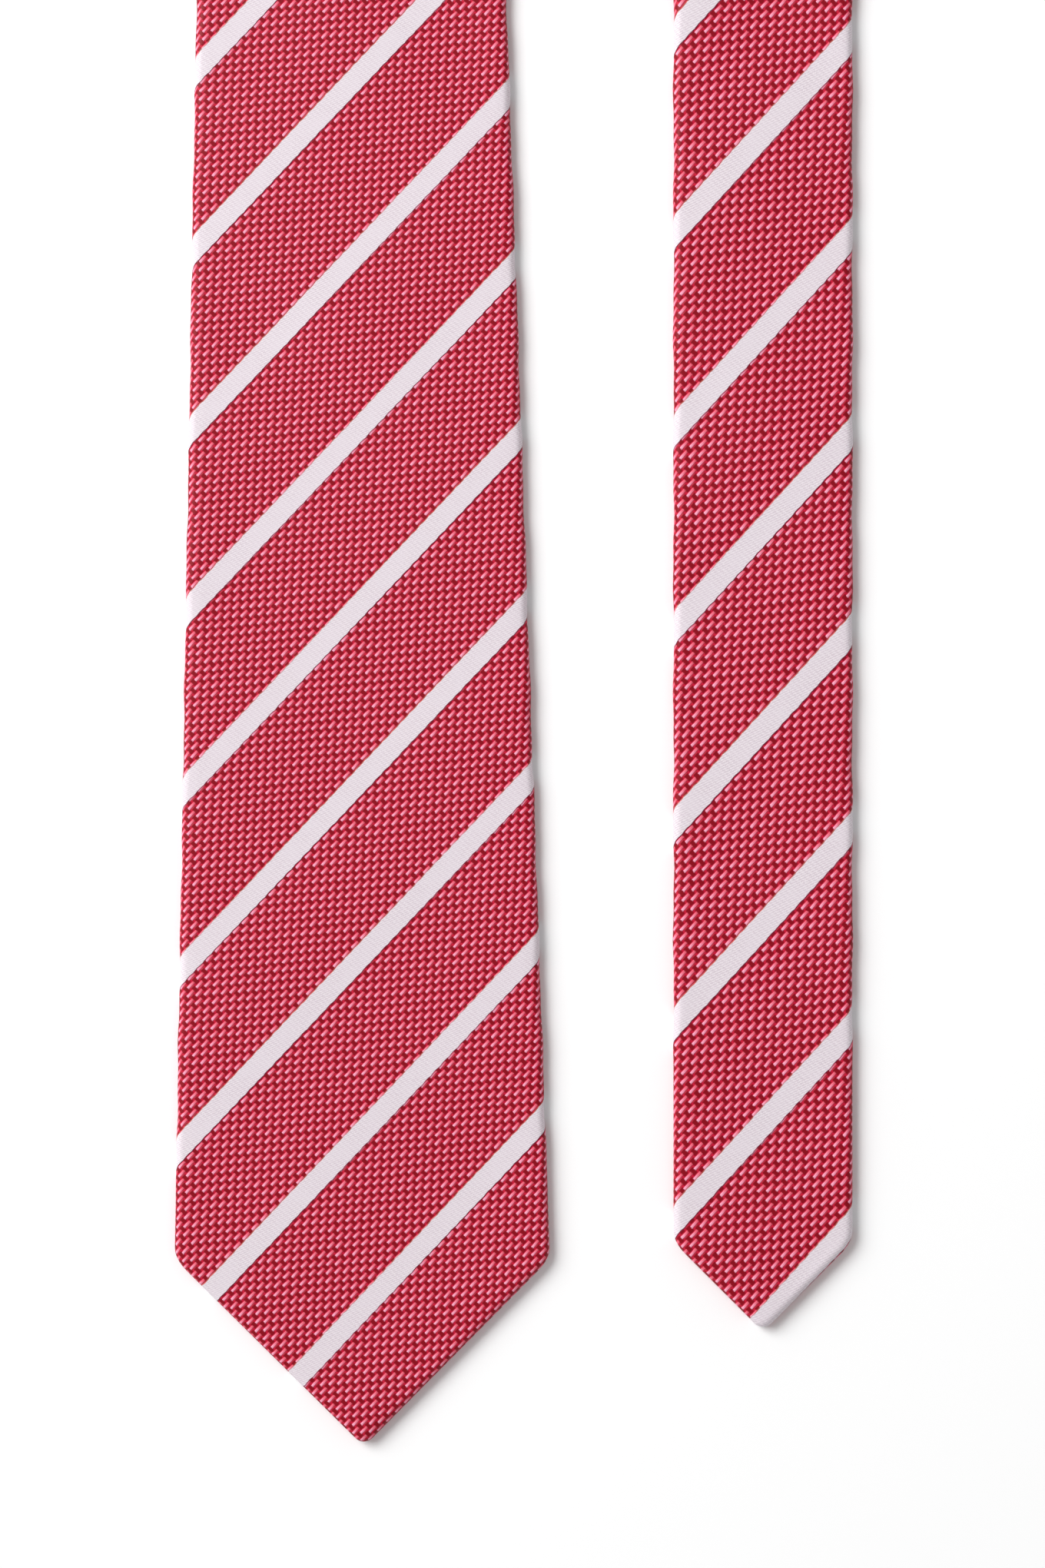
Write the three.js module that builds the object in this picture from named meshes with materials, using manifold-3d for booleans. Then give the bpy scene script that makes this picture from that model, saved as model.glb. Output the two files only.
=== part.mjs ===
// A necktie lying flat in a U: the wide blade on the left, the narrow tail on the
// right, both face up, and the neck across the top with its back up, folded over on two diagonals.
// Millimetres, +Z up. The origin is on the ground under the middle of the whole tie, and both
// points look towards -Y.
//
// Every piece is drawn in the tie's own flat coordinates before it is laid down:
//   u  across the tie, to the right when its face is seen with the blade's point down
//   s  along the tie, 0 at the blade's point and TIE_LENGTH at the tail's point
//   t  through the cloth, 0 at the back and THICKNESS at the face
import * as THREE from 'three';
import { mergeVertices } from 'three/addons/utils/BufferGeometryUtils.js';
import Module from 'manifold-3d';

// ---- driving dimensions ----
const TIE_LENGTH = 1480;
const THICKNESS = 3.3;            // the pressed tie: cloth, interlining, cloth
const CLOTH = 0.5;                // one layer of the outer cloth
const LINING = 0.4;               // one layer of the satin tipping
const GAP = 0.3;                  // clearance between neighbouring layers
const JOINT_GAP = 0.15;           // half of the gap between two pieces that meet end to end

const BLADE_HALF = 40;            // half width of the blade at its shoulders
const BLADE_TAPER = 0.0259;       // narrowing of that half width per mm of length
const TAPER_END = 306;            // where the blade starts to narrow faster, towards the neck
const NECK_START = 700;
const NECK_HALF = 18;
const TAIL_HALF = 19.1;
const TAIL_START = 1100;          // where the tail has reached its own width
const SHOULDER_BLEND = 3;         // rounding of the blade's and the tail's shoulders

const FOLD_RADIUS = 3;            // middle of the cloth stack, round a diagonal fold
const LEG_SPACING = 85.2;         // blade point to tail point, across
const TAIL_SHORT = 24.5;          // how much higher the tail's point ends
const BLADE_LEAN = 0.0086;        // the blade's sideways drift per mm, easing out higher up
const LEAN_EASE_START = 330;
const LEAN_EASE_END = 630;
const DROP_LENGTH = 75;           // where a leg comes down from the folded neck to the ground
const NECK_CLEARANCE = 19;        // the leg stays up this far beyond the neck's lower edge

const BLADE_TURN = 150;           // the blade's point turns over here, measured from the point
const TAIL_TURN = 110;            // and the tail's point here, from its own point

const SEAM_SLOT = 1.0;            // opening between the two back flaps
const THREAD = 0.4;
const PATCH = { half: 32, low: 164, high: 230, depth: 0.8 };   // bed of the loop and labels
const BLADE_WINDOW = { low: 13, side: 31, sideAt: 45, top: 112 };
const TAIL_WINDOW = { low: 9, side: 13.5, sideAt: 22, top: 62 };
const BLADE_TIPPING = { low: 6, side: 36, sideAt: 45, top: 120 };
const TAIL_TIPPING = { low: 4.5, side: 16.5, sideAt: 22, top: 68 };
const TACK = { half: 3.2, length: 1.8, above: 1.3 };
const SEAM_AFTER_TACK = 1;        // the seam thread starts this far past the tack
const SEAM_FROM_PATCH = 1;        // and goes on this far past the labels' bed
const THREAD_BOTTOM = 0.02;       // height of the seam thread and the tacks above the ground
const STITCH_BOTTOM = 0.05;       // height of the hem and band stitches above the ground
const HEM_INWARD = 0.9;           // the hem stitches lie this far inside the window's edge
const HEM_START = 0.08;           // share of that edge where they start
const HEM_END = 0.9;              // and end
const BAND_THICKNESS = 0.5;       // the keeper loop and the labels
const BAND_STITCH = 0.8;          // width of the row of stitches at each end of a band
const STITCH_INSET = 1;           // how far that row stays inside the band's long edges
const HOLLOW_SETBACK = 2.5;       // the hollow inside the cloth stops this far short of a point
const WOOL_SETBACK = 3.2;         // and the interlining this far

// ---- how the solids are cut and divided ----
const OVERCUT = 1;                // a cutting shape runs this far past the piece that it cuts
const CUT_MARGIN = 0.1;           // and this far past a layer's inner face
const SLOT_BELOW = 0.5;           // the seam slot starts this far under the back
const SLOT_OVERLAP = 1.5;         // and runs this far into the window
const MERGE_DISTANCE = 1e-5;
const CORNER_STEPS = [-3, -1.5, 0, 1.5, 3];   // stations round a shoulder, measured from it
const MID_BLADE_POINT = 90;       // one station halfway between the shoulders and the turn
const MID_TAIL_POINT = 60;
const ROLL_STEPS = 8;
// Stations of a leg, measured back from its fold, closer where it comes down from the neck.
const LEG_STATIONS = [30, 38, 46, 55, 64, 73, 82, 92, 106, 160, 230, 310, 390];

// ---- worked out from them ----
const EDGE = THICKNESS / 2;
const ROLL = Math.PI * FOLD_RADIUS;
const ROLL_ALONG = ROLL * Math.SQRT2;
const ROLL_OFFSET = ROLL / Math.SQRT2;
const LEAN_SHIFT = BLADE_LEAN * (LEAN_EASE_START + LEAN_EASE_END) / 2;
const FOLD_SPACING = LEG_SPACING + LEAN_SHIFT;
const FOLD_A = (TIE_LENGTH - ROLL_ALONG + TAIL_SHORT - FOLD_SPACING) / 2;
const FOLD_B = FOLD_A + FOLD_SPACING;

const BLADE_REACH = BLADE_HALF * (1 + BLADE_LEAN);
const BLADE_X = -(LEG_SPACING + TAIL_HALF - BLADE_REACH) / 2;
const TAIL_X = BLADE_X + LEG_SPACING;
const TIP_Y = -(FOLD_A + ROLL_OFFSET + NECK_HALF) / 2;
const FOLD_A_X = BLADE_X - LEAN_SHIFT;
const FOLD_A_Y = TIP_Y + FOLD_A;
const NECK_Y = FOLD_A_Y + ROLL_OFFSET;
const FOLD_B_X = FOLD_A_X - ROLL_OFFSET + FOLD_SPACING;
const DROP_TOP = NECK_Y - NECK_HALF - NECK_CLEARANCE;
const DROP_BOTTOM = DROP_TOP - DROP_LENGTH;
const TAIL_JOINT = TIE_LENGTH - TAIL_TURN;

const wasm = await Module();
wasm.setup();

// ---- the tie's outline and how it lies ----
function ease(x) {
  const k = Math.min(Math.max(x, 0), 1);
  return k * k * (3 - 2 * k);
}

function softMin(a, b) {
  const overlap = Math.max(SHOULDER_BLEND - Math.abs(a - b), 0);
  return Math.min(a, b) - overlap * overlap / (4 * SHOULDER_BLEND);
}

function bodyHalf(s) {
  const visible = BLADE_HALF - BLADE_TAPER * (s - BLADE_HALF);
  if (s <= TAPER_END) return visible;
  if (s >= NECK_START) {
    return NECK_HALF + (TAIL_HALF - NECK_HALF) * ease((s - NECK_START) / (TAIL_START - NECK_START));
  }
  const span = NECK_START - TAPER_END;
  const k = (s - TAPER_END) / span;
  const start = BLADE_HALF - BLADE_TAPER * (TAPER_END - BLADE_HALF);
  const slope = -BLADE_TAPER * span * k * (1 - k) * (1 - k);
  return start + (NECK_HALF - start) * ease(k) + slope;
}

function halfWidth(s) {
  const fromPoint = Math.min(s, TIE_LENGTH - s) + EDGE;
  return softMin(bodyHalf(s), fromPoint);
}

function bladeX(s) {
  const eased = Math.min(Math.max(s - LEAN_EASE_START, 0), LEAN_EASE_END - LEAN_EASE_START);
  const straight = Math.min(s, LEAN_EASE_START);
  const bent = eased - eased * eased / (2 * (LEAN_EASE_END - LEAN_EASE_START));
  return BLADE_X - BLADE_LEAN * (straight + bent);
}

function lift(y) {
  return 2 * FOLD_RADIUS * ease((y - DROP_BOTTOM) / DROP_LENGTH);
}

// Flat coordinates to the tie as it lies: blade, first roll, neck, second roll, tail.
function lay(u, s, t) {
  const intoA = (s - FOLD_A - u) / Math.SQRT2;
  const intoB = (s - FOLD_B + u) / Math.SQRT2;
  const radius = FOLD_RADIUS + t - EDGE;
  if (intoA <= 0) {
    const y = TIP_Y + s;
    return new THREE.Vector3(bladeX(s) + u, y, lift(y) + t);
  }
  if (intoA < ROLL) {
    const along = (s - FOLD_A + u) / 2;
    const angle = intoA / FOLD_RADIUS;
    const out = radius * Math.sin(angle) / Math.SQRT2;
    const z = EDGE + FOLD_RADIUS + radius * Math.cos(angle);
    return new THREE.Vector3(FOLD_A_X + along - out, FOLD_A_Y + along + out, z);
  }
  if (intoB <= 0) {
    return new THREE.Vector3(FOLD_A_X - ROLL_OFFSET + s - FOLD_A, NECK_Y + u, THICKNESS - t);
  }
  if (intoB < ROLL) {
    const along = (s - FOLD_B - u) / 2;
    const angle = intoB / FOLD_RADIUS;
    const out = radius * Math.sin(angle) / Math.SQRT2;
    const z = EDGE + FOLD_RADIUS - radius * Math.cos(angle);
    return new THREE.Vector3(FOLD_B_X + along + out, NECK_Y - along + out, z);
  }
  const y = NECK_Y + ROLL_OFFSET - (s - FOLD_B);
  return new THREE.Vector3(TAIL_X - u, y, lift(y) + t);
}

// ---- solids ----
function toSolid(geometry) {
  geometry.deleteAttribute('normal');
  geometry.deleteAttribute('uv');
  const merged = mergeVertices(geometry, MERGE_DISTANCE);
  const vertProperties = new Float32Array(merged.attributes.position.array);
  const triVerts = new Uint32Array(merged.index.array);
  return new wasm.Manifold(new wasm.Mesh({ numProp: 3, vertProperties, triVerts }));
}

function toGeometry(solid) {
  const result = solid.getMesh();
  const geometry = new THREE.BufferGeometry();
  const positions = new THREE.BufferAttribute(new Float32Array(result.vertProperties), 3);
  geometry.setAttribute('position', positions);
  geometry.setIndex(new THREE.BufferAttribute(new Uint32Array(result.triVerts), 1));
  geometry.computeVertexNormals();
  return geometry;
}

function mapVertices(geometry, map) {
  const position = geometry.attributes.position;
  for (let i = 0; i < position.count; i += 1) {
    const p = map(position.getX(i), position.getY(i), position.getZ(i));
    position.setXYZ(i, p.x, p.y, p.z);
  }
  return geometry;
}

// A layer's cross-section, full width, with half-round edges.
function layerSection(inset, bottom, top) {
  const radius = (top - bottom) / 2;
  const flat = BLADE_HALF - inset - radius;
  const shape = new THREE.Shape();
  shape.moveTo(-flat, bottom);
  shape.lineTo(flat, bottom);
  shape.absarc(flat, bottom + radius, radius, -Math.PI / 2, Math.PI / 2, false);
  shape.lineTo(-flat, top);
  shape.absarc(-flat, bottom + radius, radius, Math.PI / 2, 3 * Math.PI / 2, false);
  return shape;
}

function rectangle(u0, u1, v0, v1) {
  const corners = [[u0, v0], [u1, v0], [u1, v1], [u0, v1]];
  return new THREE.Shape(corners.map(([u, v]) => new THREE.Vector2(u, v)));
}

// Sweeps a cross-section through stations { s, skew }. A skew of 1 or -1 turns the station onto
// the diagonal of the blade's or the tail's fold. The edges follow the tie's outline.
function loft(section, stations) {
  const steps = stations.length - 1;
  const options = { depth: steps, steps, bevelEnabled: false, curveSegments: 2 };
  const geometry = new THREE.ExtrudeGeometry(section, options);
  mapVertices(geometry, (x, y, z) => {
    const { s, skew } = stations[steps - Math.round(z)];
    const nearEdge = Math.abs(x) > SEAM_SLOT;
    const u = nearEdge ? x + Math.sign(x) * (halfWidth(s) - BLADE_HALF) : x;
    return lay(u, s + skew * u, y);
  });
  return toSolid(geometry);
}

// A flat plate drawn in plan, measured from the blade's point or from the tail's point.
function plate(shape, bottom, top, end = 'blade') {
  const geometry = new THREE.ExtrudeGeometry(shape, { depth: top - bottom, bevelEnabled: false });
  mapVertices(geometry, (x, y, z) => {
    if (end === 'tail') return lay(-x, TIE_LENGTH - y, bottom + z);
    return lay(x, y, bottom + z);
  });
  return toSolid(geometry);
}

function outerLoft(stations) {
  return loft(layerSection(0, 0, THICKNESS), stations);
}

function cavityLoft(stations) {
  return loft(layerSection(CLOTH, CLOTH, THICKNESS - CLOTH), stations);
}

function liningLoft(stations, bottom) {
  const inset = CLOTH + GAP;
  return loft(layerSection(inset, bottom, THICKNESS - inset), stations);
}

function seamSlot(stations) {
  const half = SEAM_SLOT / 2;
  return loft(rectangle(-half, half, -SLOT_BELOW, PATCH.depth + CLOTH + CUT_MARGIN), stations);
}

function seamThread(stations) {
  return loft(rectangle(-THREAD / 2, THREAD / 2, THREAD_BOTTOM, THREAD), stations);
}

// Moves the first and last stations along the tie: positive amounts make the run longer.
function grown(stations, atStart, atEnd) {
  const last = stations.length - 1;
  return stations.map(({ s, skew }, i) => {
    if (i === 0) return { s: s - atStart, skew };
    if (i === last) return { s: s + atEnd, skew };
    return { s, skew };
  });
}

// ---- stations ----
const ROLL_GAP = 2 * JOINT_GAP;

function squareStation(s) {
  return { s, skew: 0 };
}

function bladePointStations() {
  const corner = CORNER_STEPS.map((step) => BLADE_HALF - EDGE + step);
  return [0, ...corner, MID_BLADE_POINT, BLADE_TURN - JOINT_GAP].map(squareStation);
}

function tailPointStations() {
  const corner = CORNER_STEPS.map((step) => TAIL_HALF - EDGE - step);
  return [TAIL_TURN - JOINT_GAP, MID_TAIL_POINT, ...corner, 0]
    .map((fromPoint) => squareStation(TIE_LENGTH - fromPoint));
}

// A leg is cut on the diagonal at its fold and square from there on.
function legStations(foldEdge, turn, direction) {
  const atFold = { s: foldEdge + direction * ROLL_GAP, skew: -direction };
  const along = LEG_STATIONS.map((distance) => squareStation(foldEdge + direction * distance));
  const stations = [atFold, ...along, squareStation(turn)];
  return direction < 0 ? stations.reverse() : stations;
}

function rollStations(start, skew) {
  return Array.from({ length: ROLL_STEPS + 1 }, (_, i) => {
    const along = ROLL_GAP + (ROLL_ALONG - 2 * ROLL_GAP) * i / ROLL_STEPS;
    return { s: start + along, skew };
  });
}

// ---- materials ----
const finish = (color, roughness) => new THREE.MeshStandardMaterial({ color, roughness, metalness: 0 });
const silk = finish('#c4153f', 0.55);
const wool = finish('#ece6da', 0.95);
const satin = finish('#a30f33', 0.35);
const thread = finish('#8d0c2c', 0.7);
const ribbon = finish('#f2eef0', 0.6);

const necktie = new THREE.Group();

function add(name, solid, material) {
  const mesh = new THREE.Mesh(toGeometry(solid), material);
  mesh.name = name;
  necktie.add(mesh);
}

// ---- the two points, with their tipping ----
function diamond({ low, side, sideAt, top }) {
  const corners = [[0, low], [side, sideAt], [0, top], [-side, sideAt]];
  return new THREE.Shape(corners.map(([u, v]) => new THREE.Vector2(u, v)));
}

// One row of hem stitches, just inside a lower edge of the window.
function hemStitch({ low, side, sideAt }, hand) {
  const at = (k) => new THREE.Vector2(hand * side * k, low + HEM_INWARD + (sideAt - low) * k);
  const from = at(HEM_START);
  const to = at(HEM_END);
  const across = to.clone().sub(from).normalize();
  across.set(-across.y, across.x).multiplyScalar(THREAD / 2);
  const nearSide = [from.clone().sub(across), to.clone().sub(across)];
  const farSide = [to.clone().add(across), from.clone().add(across)];
  const corners = [...nearSide, ...farSide];
  return new THREE.Shape(THREE.ShapeUtils.isClockWise(corners) ? corners.reverse() : corners);
}

function tackOutline({ top }, margin) {
  const low = top + TACK.above;
  return rectangle(-TACK.half - margin, TACK.half + margin, low - margin, low + TACK.length + margin);
}

function addPoint(end, stations, window, tipping) {
  const flapWall = [-OVERCUT, CLOTH + CUT_MARGIN];
  const blade = end === 'blade';
  const hollow = grown(stations, blade ? -HOLLOW_SETBACK : OVERCUT, blade ? OVERCUT : -HOLLOW_SETBACK);
  const seamFrom = window.top + TACK.above + TACK.length + SEAM_AFTER_TACK;
  const joint = blade ? BLADE_TURN - JOINT_GAP : TAIL_JOINT + JOINT_GAP;
  const seamEnds = (start, past) => {
    const run = blade ? [start, joint + past] : [joint - past, TIE_LENGTH - start];
    return run.map(squareStation);
  };
  const slotSection = rectangle(-SEAM_SLOT / 2, SEAM_SLOT / 2, -SLOT_BELOW, CLOTH + CUT_MARGIN);

  const shell = outerLoft(stations)
    .subtract(cavityLoft(hollow))
    .subtract(plate(diamond(window), ...flapWall, end))
    .subtract(plate(tackOutline(window, GAP), ...flapWall, end))
    .subtract(loft(slotSection, seamEnds(window.top - SLOT_OVERLAP, OVERCUT)));
  add(`${end}_point_shell`, shell, silk);

  const tippingBottom = CLOTH + GAP;
  const tippingTop = tippingBottom + LINING;
  add(`${end}_tipping`, plate(diamond(tipping), tippingBottom, tippingTop, end), satin);
  const woolStations = grown(stations, blade ? -WOOL_SETBACK : 0, blade ? 0 : -WOOL_SETBACK);
  add(`${end}_point_interlining`, liningLoft(woolStations, tippingTop + GAP), wool);
  add(`${end}_bar_tack`, plate(tackOutline(window, 0), THREAD_BOTTOM, CLOTH - STITCH_BOTTOM, end), thread);
  add(`${end}_point_seam_thread`, seamThread(seamEnds(seamFrom, 0)), thread);
  for (const [side, hand] of [['left', -1], ['right', 1]]) {
    add(`${end}_hem_stitch_${side}`, plate(hemStitch(window, hand), STITCH_BOTTOM, CLOTH, end), thread);
  }
}

addPoint('blade', bladePointStations(), BLADE_WINDOW, BLADE_TIPPING);
addPoint('tail', tailPointStations(), TAIL_WINDOW, TAIL_TIPPING);

// ---- the blade's leg, with the bed of the keeper loop and the labels ----
function patch(margin, top) {
  const { half, low, high } = PATCH;
  return plate(rectangle(-half - margin, half + margin, low - margin, high + margin), -OVERCUT, top);
}

const bladeLeg = legStations(FOLD_A, BLADE_TURN + JOINT_GAP, -1);
const bladeLegCut = grown(bladeLeg, OVERCUT, OVERCUT);
const bladeCavity = cavityLoft(bladeLegCut).subtract(patch(CLOTH, PATCH.depth + CLOTH));
const bladeShell = outerLoft(bladeLeg)
  .subtract(bladeCavity)
  .subtract(patch(0, PATCH.depth))
  .subtract(seamSlot(bladeLegCut));
add('blade_shell', bladeShell, silk);
const patchClear = patch(CLOTH + GAP, PATCH.depth + CLOTH + GAP);
add('blade_interlining', liningLoft(bladeLeg, CLOTH + GAP).subtract(patchClear), wool);
const seamStart = squareStation(PATCH.high + SEAM_FROM_PATCH);
const bladeSeam = [seamStart, ...bladeLeg.filter(({ s }) => s > seamStart.s)];
add('blade_seam_thread', seamThread(bladeSeam), thread);

// A band across the back, with a row of stitches just past each end.
function addBand(name, half, low, high, material) {
  add(name, plate(rectangle(-half, half, low, high), 0, BAND_THICKNESS), material);
  for (const [side, hand] of [['left', -1], ['right', 1]]) {
    const near = half + GAP;
    const edges = [hand * near, hand * (near + BAND_STITCH)].sort((a, b) => a - b);
    const top = BAND_THICKNESS - STITCH_BOTTOM;
    const row = rectangle(...edges, low + STITCH_INSET, high - STITCH_INSET);
    const stitches = plate(row, STITCH_BOTTOM, top);
    add(`${name}_stitch_${side}`, stitches, thread);
  }
}

addBand('care_label', 11, 167, 181, ribbon);
addBand('keeper_loop', 29, 186, 198, silk);
addBand('maker_label', 25, 205, 226, ribbon);

// ---- the neck and the two diagonal rolls ----
function addRun(name, stations, stitched) {
  const longer = grown(stations, OVERCUT, OVERCUT);
  const shell = outerLoft(stations).subtract(cavityLoft(longer)).subtract(seamSlot(longer));
  add(`${name}_shell`, shell, silk);
  add(`${name}_interlining`, liningLoft(stations, CLOTH + GAP), wool);
  if (stitched) add(`${name}_seam_thread`, seamThread(stations), thread);
}

const neckStart = FOLD_A + ROLL_ALONG;
const neckMiddle = squareStation((neckStart + FOLD_B) / 2);
const neckStations = [{ s: neckStart, skew: 1 }, neckMiddle, { s: FOLD_B, skew: -1 }];
addRun('neck', neckStations, true);
addRun('blade_fold', rollStations(FOLD_A, 1), false);
addRun('tail_fold', rollStations(FOLD_B, -1), false);

// ---- the tail's leg ----
addRun('tail', legStations(FOLD_B + ROLL_ALONG, TAIL_JOINT - JOINT_GAP, 1), true);

export default necktie;
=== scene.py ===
"""A woven silk necktie, laid over itself in two folds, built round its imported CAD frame.

The silk, linings, threads and labels are all laid along one path: u is across the tie,
s runs along it from the blade's point, and t goes from its back (0) to its front.
"""
import math
import random

import bmesh
import bpy
import numpy as np
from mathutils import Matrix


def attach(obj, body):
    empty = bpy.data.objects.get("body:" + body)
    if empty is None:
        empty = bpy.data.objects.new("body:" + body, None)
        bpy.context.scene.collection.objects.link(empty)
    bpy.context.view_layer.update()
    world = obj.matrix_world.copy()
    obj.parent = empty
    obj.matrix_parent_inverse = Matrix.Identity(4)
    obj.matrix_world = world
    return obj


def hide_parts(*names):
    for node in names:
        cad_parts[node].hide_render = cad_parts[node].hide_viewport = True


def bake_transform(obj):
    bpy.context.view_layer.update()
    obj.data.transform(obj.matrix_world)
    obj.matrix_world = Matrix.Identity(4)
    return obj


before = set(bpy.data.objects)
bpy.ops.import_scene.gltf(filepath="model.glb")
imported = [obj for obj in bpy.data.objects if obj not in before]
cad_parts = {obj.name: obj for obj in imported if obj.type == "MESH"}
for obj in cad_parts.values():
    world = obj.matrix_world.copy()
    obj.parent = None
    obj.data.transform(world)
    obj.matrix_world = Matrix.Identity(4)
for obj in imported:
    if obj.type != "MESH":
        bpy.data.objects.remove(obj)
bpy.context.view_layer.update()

# ---------------------------------------------------------------- the tie's own dimensions, mm
MM = 0.001
LENGTH = 1480.0
THICK = 3.3                 # pressed flat, from back to front
EDGE = THICK / 2            # radius of the rolled side edges
CLOTH = 0.45                # the silk's own thickness
BLADE_HALF, BLADE_TAPER, TAPER_END = 40.0, 0.0259, 306.0    # the blade narrows steadily up to TAPER_END
NECK_START, NECK_HALF, TAIL_HALF, TAIL_START = 700.0, 18.0, 19.1, 1100.0
SHOULDER = 2.6              # how far the corners above the points are rounded
FOLD_RADIUS = 3.0           # of the rolls at the two diagonal folds
LEG_SPACING, TAIL_SHORT = 85.2, 24.5    # the tail lies this far to the right, and ends this much higher
LEAN, LEAN_LOW, LEAN_HIGH = 0.0086, 330.0, 630.0    # the blade's lean to the left, fading from LOW to HIGH
DROP_LENGTH, NECK_CLEARANCE = 75.0, 19.0    # the legs come down to the floor, clear of the neck
BLADE_TIP, TAIL_TIP = 2.6, 2.6   # radii of the two points
POINT_EASE = 0.35           # the points' sewn edges stand this much proud of the core's outline
WAVE_START, WAVE_RAMP = 46.0, 20.0      # the side edges' waviness sets in above the shoulders
BLADE_TURN, TAIL_TURN = 150.0, 110.0    # where each point turns up, from its tip
BLADE_BEND_REACH, TAIL_BEND_REACH = 10.0, 8.0   # how far the cloth bends on each side of that
BACK_RISE, RISE_RUN = 0.3, 5.0          # the back flaps hang clear of the ground, as thick as the stitches
SEAM_GAP = 0.12             # from the centre line to each flap's edge
HEM_DIP, HEM_WIDTH = 0.42, 0.5          # how far the flaps' edges turn in, and over what width
NARROW = 8.0                # where a flap or the face is narrower than this, its relief fades
PINCH, PINCH_WIDTH = 0.105, 1.1         # how far a piecing seam draws the cloth in, and over what length
CORE_T, CORE, CORE_INSET = 1.95, 0.8, 3.6    # the interlining's height, thickness and distance from the edge
TIPPING_T, TIPPING = 0.95, 0.16
BLADE_WINDOW = dict(low=13, side=31, at=45, top=112)    # opening in the back that shows the lining
TAIL_WINDOW = dict(low=9, side=13.5, at=22, top=62)
BLADE_TIPPING = dict(low=6, side=36, at=45, top=120)
TAIL_TIPPING = dict(low=4.5, side=16.5, at=22, top=68)
PATCH = dict(half=32, low=164, high=230, depth=0.85)    # where the loop and labels lie against the back
LOOP = dict(half=29, low=186, high=198)
MAKER_LABEL = dict(half=25, low=205, high=226)
CARE_LABEL = dict(half=11, low=167, high=181)

# where the pieces of the path meet, worked out from the sizes above
ROOT2 = math.sqrt(2)
ROLL = math.pi * FOLD_RADIUS
ROLL_ALONG, ROLL_OFFSET = ROLL * ROOT2, ROLL / ROOT2
FOLD_SPACING = LEG_SPACING + LEAN * (LEAN_LOW + LEAN_HIGH) / 2
FOLD_A = (LENGTH - ROLL_ALONG + TAIL_SHORT - FOLD_SPACING) / 2
FOLD_B = FOLD_A + FOLD_SPACING
BLADE_X = -(LEG_SPACING + TAIL_HALF - BLADE_HALF * (1 + LEAN)) / 2
TAIL_X = BLADE_X + LEG_SPACING
TIP_Y = -(FOLD_A + ROLL_OFFSET + NECK_HALF) / 2
FOLD_A_X, FOLD_A_Y = BLADE_X - LEAN * (LEAN_LOW + LEAN_HIGH) / 2, TIP_Y + FOLD_A
NECK_Y = FOLD_A_Y + ROLL_OFFSET
FOLD_B_X = FOLD_A_X - ROLL_OFFSET + FOLD_SPACING
DROP_TOP = NECK_Y - NECK_HALF - NECK_CLEARANCE
DROP_BOTTOM = DROP_TOP - DROP_LENGTH

# where one piece of cloth ends and the next begins; 690 and 1100 are diagonal piecing seams
BLADE_SPLIT, BLADE_SEAM, NECK_MIDDLE, TAIL_CLEAR, TAIL_SEAM = 330.0, 690.0, 752.0, 814.0, 1100.0
# how far the rows across the tie slant at each s, where 1 is 45 degrees
SKEW = np.array([(0, 0), (640, 0), (690, 1), (716, 1), (752, 0), (788, -1), (814, -1), (860, 0),
                 (1060, 0), (1100, 1), (1140, 0), (1480, 0)], float)

# the silk's pattern, in repeats per mm across and along the cloth
WEAVE_ALONG, WEAVE_ACROSS = (0.2508, 0.2590), (0.3005, 0.2921)
STRIPE_PITCH, STRIPE_SLOPE, FIRST_STRIPE = 37.3, 1.045, 27.6
# the neck's and the tail's cloth is cut elsewhere in the pattern; the tail's is drawn at its own scale
NECK_SHIFT, TAIL_SHIFT, TAIL_SCALE_U, TAIL_SCALE_S = 11.0, 27.2, 1.08, 1.13

# the picture
LOOK_AT, DISTANCE = (0.0019, -0.2234), 0.7884    # metres
AMBIENT, HORIZON = 0.42, 0.95                    # the world's brightness overhead and near the ground
FLOOR_REACH, FLOOR_Z = 14.0, -0.00005


# ---------------------------------------------------------------- the path that everything is laid along
def ease(x):
    """A smooth step from 0 to 1."""
    k = np.clip(x, 0, 1)
    return k * k * (3 - 2 * k)


def body_half(s):
    """Half width of the tie along its length, points aside."""
    s = np.asarray(s, float)
    run = TAPER_END - BLADE_HALF
    taper = BLADE_HALF - BLADE_TAPER * (s - BLADE_HALF)
    start = BLADE_HALF - BLADE_TAPER * run
    span = NECK_START - TAPER_END
    k = np.clip((s - TAPER_END) / span, 0, 1)
    waist = start + (NECK_HALF - start) * ease(k) - BLADE_TAPER * span * k * (1 - k) ** 2
    tail = NECK_HALF + (TAIL_HALF - NECK_HALF) * ease((s - NECK_START) / (TAIL_START - NECK_START))
    return np.where(s <= TAPER_END, taper, np.where(s >= NECK_START, tail, waist))


def outline(s, waviness=1.0):
    """Half width with the points and a little waviness of the hand-rolled edge."""
    s = np.asarray(s, float)
    end = np.minimum(s, LENGTH - s)
    body, point = body_half(s), end + EDGE + POINT_EASE
    wave = waviness * (0.10 * np.sin(s / 4.1) + 0.07 * np.sin(s / 1.7 + 2))
    body = body + wave * ease((end - WAVE_START) / WAVE_RAMP)
    near = np.maximum(SHOULDER - np.abs(body - point), 0)
    return np.minimum(body, point) - near ** 2 / (4 * SHOULDER)


def lift(y):
    """How high a leg's back lies: on the floor below, up on the neck above."""
    return 2 * FOLD_RADIUS * ease((y - DROP_BOTTOM) / DROP_LENGTH)


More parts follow.
